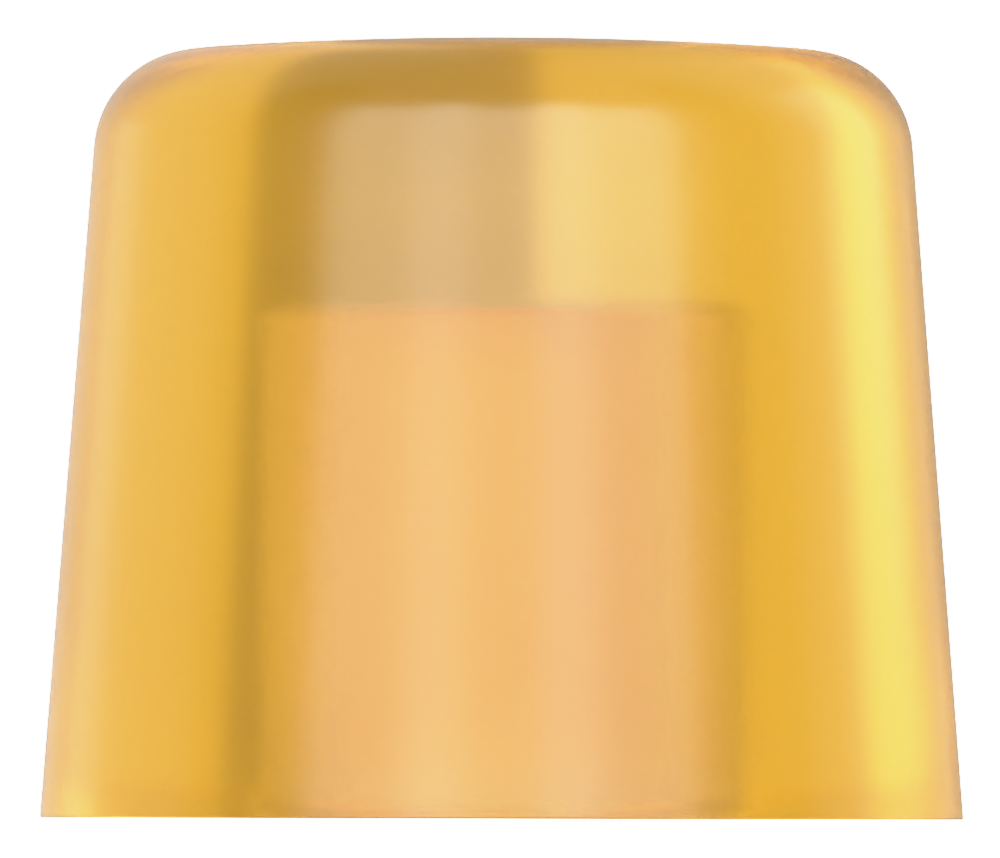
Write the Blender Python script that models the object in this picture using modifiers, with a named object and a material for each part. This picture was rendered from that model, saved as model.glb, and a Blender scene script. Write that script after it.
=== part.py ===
"""Replaceable striking face of a soft-face mallet.

One piece of clear amber plastic, turned in shape about +Z.  The wide end is a
flat, sharp-edged ring with a blind round socket in its middle, where the peg of
the mallet's head goes.  The sides taper in to a slightly crowned striking face
with a generous rounded rim.  The origin is the middle of the flat seat.
"""
import math

import bpy

# Driving dimensions, in metres and radians.
BASE_DIAMETER = 0.0320                # across the sharp edge of the seat
HEIGHT = 0.0270                       # seat to the middle of the striking face
SIDE_LEAN = math.radians(4.44)        # how far each side leans in from upright
CROWN_RADIUS = 0.150                  # the striking face is part of this sphere
RIM_RADIUS = 0.0036                   # between the side and the striking face
SEAT_EDGE_BREAK = 0.00005             # the tool's break on the seat's edge
SOCKET_DIAMETER = 0.0114
SOCKET_DEPTH = 0.0174
SOCKET_END_RADIUS = 0.0005            # between the socket's wall and its end
MOUTH_CHAMFER = 0.0003                # lead-in for the peg

# Fineness of the solid.
SEGMENTS = 96                         # around the axis
CROWN_STEPS = 6
RIM_STEPS = 10
SOCKET_END_STEPS = 4
MERGE_DISTANCE = 0.00001              # joins the ring of points on the axis

COLLECTION_NAME = "mallet_striking_face"
PART_NAME = "striking_face"


def clear_scene():
    """Remove whatever objects the file starts with."""
    for obj in list(bpy.data.objects):
        bpy.data.objects.remove(obj, do_unlink=True)


def amber_plastic():
    """Clear amber plastic with a satin moulded finish."""
    material = bpy.data.materials.new("amber_plastic")
    material.use_nodes = True
    shader = material.node_tree.nodes["Principled BSDF"]
    shader.inputs["Base Color"].default_value = (0.83, 0.43, 0.07, 1.0)
    shader.inputs["Metallic"].default_value = 0.0
    shader.inputs["Roughness"].default_value = 0.25
    shader.inputs["IOR"].default_value = 1.475
    shader.inputs["Transmission Weight"].default_value = 0.6
    return material


def arc(centre, radius, start, end, steps):
    """Points (x, z) along a circle, from angle start to angle end, both included."""
    points = []
    for step in range(steps + 1):
        angle = start + (end - start) * step / steps
        x = centre[0] + radius * math.cos(angle)
        z = centre[1] + radius * math.sin(angle)
        points.append((x, z))
    return points


def rim_centre():
    """Centre of the rim's arc, which touches both the side and the crown.

    It lies RIM_RADIUS inside the side's line and CROWN_RADIUS - RIM_RADIUS from
    the crown's own centre, so its height solves a quadratic.
    """
    slope = math.tan(SIDE_LEAN)
    offset_line = BASE_DIAMETER / 2 - RIM_RADIUS / math.cos(SIDE_LEAN)
    crown_z = HEIGHT - CROWN_RADIUS
    a = 1 + slope ** 2
    b = -2 * (offset_line * slope + crown_z)
    c = offset_line ** 2 + crown_z ** 2 - (CROWN_RADIUS - RIM_RADIUS) ** 2
    z = (-b + math.sqrt(b ** 2 - 4 * a * c)) / (2 * a)
    return offset_line - slope * z, z


def outer_profile():
    """Crown, rim, tapered side and the edge of the seat, from the axis outwards."""
    centre = rim_centre()
    crown_centre = (0.0, HEIGHT - CROWN_RADIUS)
    crown_edge = math.atan2(centre[1] - crown_centre[1], centre[0])
    crown = arc(crown_centre, CROWN_RADIUS, math.pi / 2, crown_edge, CROWN_STEPS)
    rim = arc(centre, RIM_RADIUS, crown_edge, SIDE_LEAN, RIM_STEPS)
    base_radius = BASE_DIAMETER / 2
    seat_edge = [
        (base_radius - SEAT_EDGE_BREAK * math.tan(SIDE_LEAN), SEAT_EDGE_BREAK),
        (base_radius - SEAT_EDGE_BREAK, 0.0),
    ]
    return crown[:-1] + rim + seat_edge


def socket_profile():
    """Mouth chamfer, wall and rounded end of the socket, back to the axis."""
    radius = SOCKET_DIAMETER / 2
    mouth = [(radius + MOUTH_CHAMFER, 0.0), (radius, MOUTH_CHAMFER)]
    end_centre = (radius - SOCKET_END_RADIUS, SOCKET_DEPTH - SOCKET_END_RADIUS)
    end = arc(end_centre, SOCKET_END_RADIUS, 0.0, math.pi / 2, SOCKET_END_STEPS)
    return mouth + end + [(0.0, SOCKET_DEPTH)]


def turned(name, profile, material):
    """A solid of revolution about Z from a profile of (x, z) points."""
    mesh = bpy.data.meshes.new(name)
    vertices = [(x, 0.0, z) for x, z in profile]
    edges = [(i, i + 1) for i in range(len(profile) - 1)]
    mesh.from_pydata(vertices, edges, [])
    mesh.materials.append(material)
    obj = bpy.data.objects.new(name, mesh)
    screw = obj.modifiers.new("turn", "SCREW")
    screw.axis = "Z"
    screw.angle = 2 * math.pi
    screw.steps = SEGMENTS
    screw.render_steps = SEGMENTS
    screw.use_merge_vertices = True
    screw.merge_threshold = MERGE_DISTANCE
    screw.use_smooth_shade = True
    shading = obj.modifiers.new("flat_areas_shade_flat", "WEIGHTED_NORMAL")
    shading.weight = 100
    return obj


def main():
    clear_scene()
    parts = bpy.data.collections.new(COLLECTION_NAME)
    bpy.context.scene.collection.children.link(parts)
    profile = outer_profile() + socket_profile()
    striking_face = turned(PART_NAME, profile, amber_plastic())
    parts.objects.link(striking_face)


main()
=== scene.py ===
"""Looks of the mallet's striking face: translucent amber plastic under soft studio light."""
import math

import bpy
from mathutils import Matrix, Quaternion, Vector


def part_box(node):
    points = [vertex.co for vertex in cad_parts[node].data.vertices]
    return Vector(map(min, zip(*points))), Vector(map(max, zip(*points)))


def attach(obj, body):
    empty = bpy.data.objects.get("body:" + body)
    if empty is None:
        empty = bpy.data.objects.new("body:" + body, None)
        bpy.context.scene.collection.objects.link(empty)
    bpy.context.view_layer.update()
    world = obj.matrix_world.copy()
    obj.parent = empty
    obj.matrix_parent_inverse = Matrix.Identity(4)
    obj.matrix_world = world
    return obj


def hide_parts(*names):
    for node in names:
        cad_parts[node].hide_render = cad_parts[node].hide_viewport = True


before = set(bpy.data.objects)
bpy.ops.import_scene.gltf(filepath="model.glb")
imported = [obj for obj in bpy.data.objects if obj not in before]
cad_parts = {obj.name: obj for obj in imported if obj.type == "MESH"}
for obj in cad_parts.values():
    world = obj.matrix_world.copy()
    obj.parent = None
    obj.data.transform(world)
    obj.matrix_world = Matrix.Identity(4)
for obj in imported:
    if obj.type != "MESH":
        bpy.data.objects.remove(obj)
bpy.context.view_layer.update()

NODE = "striking_face"
LOW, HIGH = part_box(NODE)

# The part's shape, in metres and radians. Height and base come from the CAD node.
HEIGHT = HIGH.z
SIDE_LEAN = math.radians(4.44)
CROWN_RADIUS = 0.150
RIM_RADIUS = 0.0036
SEAT_EDGE_BREAK = 0.00005
BASE_RADIUS = HIGH.x + SEAT_EDGE_BREAK * math.tan(SIDE_LEAN)
SOCKET_RADIUS = 0.0057
SOCKET_DEPTH = 0.0174
SOCKET_END_RADIUS = 0.0005
MOUTH_CHAMFER = 0.0003

# Fineness of the shown mesh.
SEGMENTS = 192
CROWN_STEPS = 12
SIDE_STEPS = 12
ARC_STEP = math.radians(4)
SHARP_ANGLE = math.radians(30)         # sharper edges than this aren't shaded smooth
NEAR = 0.000001                        # two values closer than this count as equal

# Plastic. Light is tinted at each surface it crosses and absorbed along its way.
PLASTIC_IOR = 1.475
OUTSIDE_ROUGHNESS = 0.22
CUT_ROUGHNESS = 0.6
TINT_CLEAR = (0.99, 0.70, 0.23)
TINT_DEEP = (0.98, 0.68, 0.21)
AMBER = (0.99, 0.85, 0.02)
AMBER_DENSITY = 60.0

# Fine detail of the plastic, in metres.
GRAIN_SIZE = 0.00012
GRAIN_HEIGHT = 0.0000004
HAZE_SIZE = 0.004
HAZE_ROUGHNESS = 0.02
FLOW_SIZE = 0.006
FLOW_STRETCH = 5.0
RING_PITCH = 0.0004
RING_HEIGHT = 0.000002
# The Wave texture turns through this many radians in a unit of length at scale 1.
WAVE_UNIT = 20.0

# Camera: level with the seat and far away, so that the seat's edge looks straight.
CAMERA_LENS = 0.800
CAMERA_SENSOR = 0.036
VIEW_WIDTH = 0.03466
CAMERA_DISTANCE = CAMERA_LENS * VIEW_WIDTH / CAMERA_SENSOR
CAMERA_HEIGHT = 0.0005
AIM = Vector((-0.00009, 0.0, 0.0135))
CAMERA_ROLL = math.radians(0.15)       # the part leans this much to the right in the view

# Studio. Azimuths are degrees from straight behind the part, positive to the right, so
# the camera stands at 180. A later card stands nearer to the part and hides those before.
SURROUND = 0.8
CARD_DISTANCE = 1.0
CARD_GAP = 0.01
CARD_STEP = 5.0
KEY = 4.6
CARDS = {
    # name: (azimuths, elevations, brightness)
    "table_bounce": ((85, 275), (-45, -5), 0.75 * KEY),
    "softbox": ((130, 230), (5, 40), KEY),
    "softbox_right_tube": ((155, 170), (0, 45), 1.4 * KEY),
    "softbox_left_tube": ((190, 205), (-10, 45), 1.3 * KEY),
    "flag_right": ((95, 120), (-50, 60), 0.2),
    "flag_left": ((235, 265), (-10, 60), 0.3),
    "rear_shade": ((-3, 25), (-45, 90), 0.45),
    "rear_left_fill": ((302, 320), (-45, 15), 1.3),
    "rear_right_fill": ((50, 80), (5, 40), 2.0),
    "rear_strip": ((-20, 20), (4, 9), 0.7 * KEY),
}
UNREFLECTED = ("rear_strip",)
WHITE = 2.2
FLOOR_RADIUS = 0.9
FLOOR_DROP = 0.0001
FLOOR_GLOW = 1.3

# Tone curve: straight up to SHOULDER, then bending smoothly towards SHOULDER_TOP, and up
# to paper white at the level where it ends.
SHOULDER = 0.78
SHOULDER_TOP = 0.92
SHOULDER_POINTS = (0.85, 0.9, 1.0, 1.2, 1.7)
CURVE_END = 2.0


def arc(centre, radius, start, end, steps=None):
    """Points (x, z) along a circle, from angle start to angle end, both included."""
    steps = steps or max(2, math.ceil(abs(end - start) / ARC_STEP))
    points = []
    for step in range(steps + 1):
        angle = start + (end - start) * step / steps
        x = centre[0] + radius * math.cos(angle)
        z = centre[1] + radius * math.sin(angle)
        points.append((x, z))
    return points


def rim_centre():
    """Centre of the rim's arc, which touches both the side and the crown."""
    slope = math.tan(SIDE_LEAN)
    offset_line = BASE_RADIUS - RIM_RADIUS / math.cos(SIDE_LEAN)
    crown_z = HEIGHT - CROWN_RADIUS
    a = 1 + slope ** 2
    b = -2 * (offset_line * slope + crown_z)
    c = offset_line ** 2 + crown_z ** 2 - (CROWN_RADIUS - RIM_RADIUS) ** 2
    z = (-b + math.sqrt(b ** 2 - 4 * a * c)) / (2 * a)
    return offset_line - slope * z, z


def outer_profile():
    """Crown, rim, tapered side and the edge of the seat, from the axis outwards."""
    centre = rim_centre()
    crown_centre = (0.0, HEIGHT - CROWN_RADIUS)
    crown_edge = math.atan2(centre[1] - crown_centre[1], centre[0])
    crown = arc(crown_centre, CROWN_RADIUS, math.pi / 2, crown_edge, CROWN_STEPS)
    rim = arc(centre, RIM_RADIUS, crown_edge, SIDE_LEAN)
    side_end = (BASE_RADIUS - SEAT_EDGE_BREAK * math.tan(SIDE_LEAN), SEAT_EDGE_BREAK)
    side_start = rim[-1]
    side = []
    for step in range(1, SIDE_STEPS):
        t = step / SIDE_STEPS
        side.append((side_start[0] + (side_end[0] - side_start[0]) * t,
                     side_start[1] + (side_end[1] - side_start[1]) * t))
    return crown[:-1] + rim + side + [side_end, (BASE_RADIUS - SEAT_EDGE_BREAK, 0.0)]


def socket_profile():
    """Mouth chamfer, wall and rounded end of the socket, back to the axis."""
    mouth = [(SOCKET_RADIUS + MOUTH_CHAMFER, 0.0), (SOCKET_RADIUS, MOUTH_CHAMFER)]
    end_centre = (SOCKET_RADIUS - SOCKET_END_RADIUS, SOCKET_DEPTH - SOCKET_END_RADIUS)
    end = arc(end_centre, SOCKET_END_RADIUS, 0.0, math.pi / 2)
    return mouth + end + [(0.0, SOCKET_DEPTH)]


def turned_mesh(name, profile):
    """A closed mesh of revolution from (x, z) points that start and end on the axis."""
    mesh = bpy.data.meshes.new(name)
    inner = profile[1:-1]
    verts = [(0.0, 0.0, profile[0][1])]
    for k in range(SEGMENTS):
        a = 2 * math.pi * k / SEGMENTS
        for x, z in inner:
            verts.append((x * math.cos(a), x * math.sin(a), z))
    verts.append((0.0, 0.0, profile[-1][1]))
    last = len(verts) - 1
    n = len(inner)
    faces = []
    for k in range(SEGMENTS):
        a, b = 1 + k * n, 1 + ((k + 1) % SEGMENTS) * n
        faces.append((0, a, b))
        for i in range(n - 1):
            faces.append((a + i, a + i + 1, b + i + 1, b + i))
        faces.append((a + n - 1, last, b + n - 1))
    mesh.from_pydata(verts, [], faces)
    mesh.update()
    mesh.shade_smooth()
    mesh.set_sharp_from_angle(angle=SHARP_ANGLE)
    return mesh


def plastic_material():
    """Clear amber plastic: satin outside, rougher and ringed by the cutter in the socket."""
    mat = bpy.data.materials.new("amber_plastic")
    mat.use_nodes = True
    nodes, links = mat.node_tree.nodes, mat.node_tree.links
    shader = nodes["Principled BSDF"]
    shader.inputs["IOR"].default_value = PLASTIC_IOR
    shader.inputs["Transmission Weight"].default_value = 1.0
    place = nodes.new("ShaderNodeTexCoord").outputs["Object"]
    cut = nodes.new("ShaderNodeAttribute")
    cut.attribute_name = "cut"

    # Flow streaks: the tint is a little deeper in some of them.
    stretch = nodes.new("ShaderNodeMapping")
    stretch.inputs["Scale"].default_value = (1.0, 1.0, 1.0 / FLOW_STRETCH)
    links.new(place, stretch.inputs["Vector"])
    flow = nodes.new("ShaderNodeTexNoise")
    flow.inputs["Scale"].default_value = 1.0 / FLOW_SIZE
    links.new(stretch.outputs["Vector"], flow.inputs["Vector"])
    tint = nodes.new("ShaderNodeMix")
    tint.data_type = "RGBA"
    tint.inputs["A"].default_value = (*TINT_CLEAR, 1)
    tint.inputs["B"].default_value = (*TINT_DEEP, 1)
    links.new(flow.outputs["Fac"], tint.inputs["Factor"])
    links.new(tint.outputs["Result"], shader.inputs["Base Color"])

    # Satin: rougher in the socket than outside, and slightly uneven all over.
    rough = nodes.new("ShaderNodeMapRange")
    rough.inputs["To Min"].default_value = OUTSIDE_ROUGHNESS
    rough.inputs["To Max"].default_value = CUT_ROUGHNESS
    links.new(cut.outputs["Fac"], rough.inputs["Value"])
    haze = nodes.new("ShaderNodeTexNoise")
    haze.inputs["Scale"].default_value = 1.0 / HAZE_SIZE
    links.new(place, haze.inputs["Vector"])
    uneven = nodes.new("ShaderNodeMapRange")
    uneven.inputs["To Min"].default_value = -HAZE_ROUGHNESS
    uneven.inputs["To Max"].default_value = HAZE_ROUGHNESS
    links.new(haze.outputs["Fac"], uneven.inputs["Value"])
    total = nodes.new("ShaderNodeMath")
    links.new(rough.outputs["Result"], total.inputs[0])
    links.new(uneven.outputs["Result"], total.inputs[1])
    links.new(total.outputs["Value"], shader.inputs["Roughness"])

    # Relief: a fine grain everywhere, and the cutter's rings in the socket.
    grain = nodes.new("ShaderNodeTexNoise")
    grain.inputs["Scale"].default_value = 1.0 / GRAIN_SIZE
    links.new(place, grain.inputs["Vector"])
    grain_bump = nodes.new("ShaderNodeBump")
    grain_bump.inputs["Distance"].default_value = GRAIN_HEIGHT
    links.new(grain.outputs["Fac"], grain_bump.inputs["Height"])
    rings = nodes.new("ShaderNodeTexWave")
    rings.bands_direction = "Z"
    rings.inputs["Scale"].default_value = 2 * math.pi / (WAVE_UNIT * RING_PITCH)
    links.new(place, rings.inputs["Vector"])
    ring_bump = nodes.new("ShaderNodeBump")
    ring_bump.inputs["Distance"].default_value = RING_HEIGHT
    links.new(cut.outputs["Fac"], ring_bump.inputs["Strength"])
    links.new(rings.outputs["Fac"], ring_bump.inputs["Height"])
    links.new(grain_bump.outputs["Normal"], ring_bump.inputs["Normal"])
    links.new(ring_bump.outputs["Normal"], shader.inputs["Normal"])

    absorb = nodes.new("ShaderNodeVolumeAbsorption")
    absorb.inputs["Color"].default_value = (*AMBER, 1)
    absorb.inputs["Density"].default_value = AMBER_DENSITY
    links.new(absorb.outputs["Volume"], nodes["Material Output"].inputs["Volume"])
    return mat


def striking_face():
    """The face in one closed mesh, with the attribute "cut" at 1 in the socket."""
    mesh = turned_mesh("amber_face", outer_profile() + socket_profile())
    cut = mesh.attributes.new("cut", "FLOAT", "POINT")
    for v in mesh.vertices:
        inside = math.hypot(v.co.x, v.co.y) < SOCKET_RADIUS + MOUTH_CHAMFER / 2
        in_socket = inside and v.co.z < SOCKET_DEPTH + NEAR
        cut.data[v.index].value = 1.0 if in_socket else 0.0
    mesh.materials.append(plastic_material())
    obj = bpy.data.objects.new("amber_face", mesh)
    bpy.context.scene.collection.objects.link(obj)
    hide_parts(NODE)
    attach(obj, "root")
    return obj


def camera():
    """A long lens in front of the part, aimed a little off its middle."""
    data = bpy.data.cameras.new("camera")
    data.lens = CAMERA_LENS * 1000
    data.sensor_width = CAMERA_SENSOR * 1000
    data.clip_start = 0.01
    data.clip_end = 20
    cam = bpy.data.objects.new("camera", data)
    bpy.context.scene.collection.objects.link(cam)
    cam.location = (AIM.x, -CAMERA_DISTANCE, CAMERA_HEIGHT)
    facing = (AIM - cam.location).to_track_quat("-Z", "Y")
    cam.rotation_euler = (facing @ Quaternion((0, 0, 1), CAMERA_ROLL)).to_euler()
    bpy.context.scene.camera = cam


def glow(name, brightness):
    """A material that only gives light."""
    mat = bpy.data.materials.new(name)
    mat.use_nodes = True
    nodes, links = mat.node_tree.nodes, mat.node_tree.links
    nodes.clear()
    emit = nodes.new("ShaderNodeEmission")
    emit.inputs["Strength"].default_value = brightness
    out = nodes.new("ShaderNodeOutputMaterial")
    links.new(emit.outputs["Emission"], out.inputs["Surface"])
    mat.cycles.emission_sampling = "NONE"
    return mat


def card(name, azimuths, elevations, brightness, distance):
    """A curved card round the part, which lights or shades it and isn't seen itself."""
    across = math.ceil((azimuths[1] - azimuths[0]) / CARD_STEP)
    up = math.ceil((elevations[1] - elevations[0]) / CARD_STEP)
    verts, faces = [], []
    for j in range(up + 1):
        el = math.radians(elevations[0] + (elevations[1] - elevations[0]) * j / up)
        for i in range(across + 1):
            az = math.radians(azimuths[0] + (azimuths[1] - azimuths[0]) * i / across)
            x, y = math.cos(el) * math.sin(az), math.cos(el) * math.cos(az)
            verts.append((distance * x, distance * y, distance * math.sin(el)))
    row = across + 1
    for j in range(up):
        for i in range(across):
            a = j * row + i
            faces.append((a, a + 1, a + row + 1, a + row))
    mesh = bpy.data.meshes.new(name)
    mesh.from_pydata(verts, [], faces)
    mesh.materials.append(glow(name, brightness))
    obj = bpy.data.objects.new(name, mesh)
    bpy.context.scene.collection.objects.link(obj)
    obj.visible_camera = False
    obj.visible_glossy = name not in UNREFLECTED


def floor():
    """A plain pale floor just under the seat, which the plastic doesn't show."""
    mesh = bpy.data.meshes.new("floor")
    ring = []
    for k in range(SEGMENTS):
        a = 2 * math.pi * k / SEGMENTS
        ring.append((FLOOR_RADIUS * math.cos(a), FLOOR_RADIUS * math.sin(a), -FLOOR_DROP))
    mesh.from_pydata(ring, [], [tuple(range(SEGMENTS))])
    mat = bpy.data.materials.new("floor")
    mat.use_nodes = True
    shader = mat.node_tree.nodes["Principled BSDF"]
    shader.inputs["Base Color"].default_value = (0.85, 0.85, 0.85, 1)
    shader.inputs["Roughness"].default_value = 0.9
    shader.inputs["Specular IOR Level"].default_value = 0.0
    shader.inputs["Emission Color"].default_value = (1, 1, 1, 1)
    shader.inputs["Emission Strength"].default_value = FLOOR_GLOW
    mat.cycles.emission_sampling = "NONE"
    mesh.materials.append(mat)
    obj = bpy.data.objects.new("floor", mesh)
    bpy.context.scene.collection.objects.link(obj)
    obj.visible_transmission = False
    obj.visible_glossy = False


def surroundings():
    """A plain pale room, which the camera itself sees as paper white."""
    world = bpy.data.worlds.new("studio")
    bpy.context.scene.world = world
    world.use_nodes = True
    nodes, links = world.node_tree.nodes, world.node_tree.links
    background = nodes["Background"]
    background.inputs["Color"].default_value = (1, 1, 1, 1)
    path = nodes.new("ShaderNodeLightPath")
    level = nodes.new("ShaderNodeMapRange")
    level.inputs["To Min"].default_value = SURROUND
    level.inputs["To Max"].default_value = WHITE
    links.new(path.outputs["Is Camera Ray"], level.inputs["Value"])
    links.new(level.outputs["Result"], background.inputs["Strength"])


def shoulder(level):
    """Where the tone curve puts a level that is above SHOULDER."""
    room = SHOULDER_TOP - SHOULDER
    return SHOULDER + room * (1 - math.exp(-(level - SHOULDER) / room))


def tones():
    """Bend the brightest levels, so that only the background is paper white."""
    view = bpy.context.scene.view_settings
    view.view_transform = "Standard"
    view.use_curve_mapping = True
    mapping = view.curve_mapping
    mapping.clip_max_x = CURVE_END
    points = mapping.curves[3].points
    points[0].location = (0.0, 0.0)
    points[1].location = (CURVE_END, 1.0)
    points.new(SHOULDER, SHOULDER)
    for level in SHOULDER_POINTS:
        points.new(level, shoulder(level))
    for point in points:
        straight = point.location.x < SHOULDER + NEAR
        point.handle_type = "VECTOR" if straight else "AUTO_CLAMPED"
    mapping.update()


def main():
    """Build the part and its studio."""
    striking_face()
    camera()
    surroundings()
    floor()
    for number, (name, (azimuths, elevations, brightness)) in enumerate(CARDS.items()):
        card(name, azimuths, elevations, brightness, CARD_DISTANCE - CARD_GAP * number)
    tones()


main()
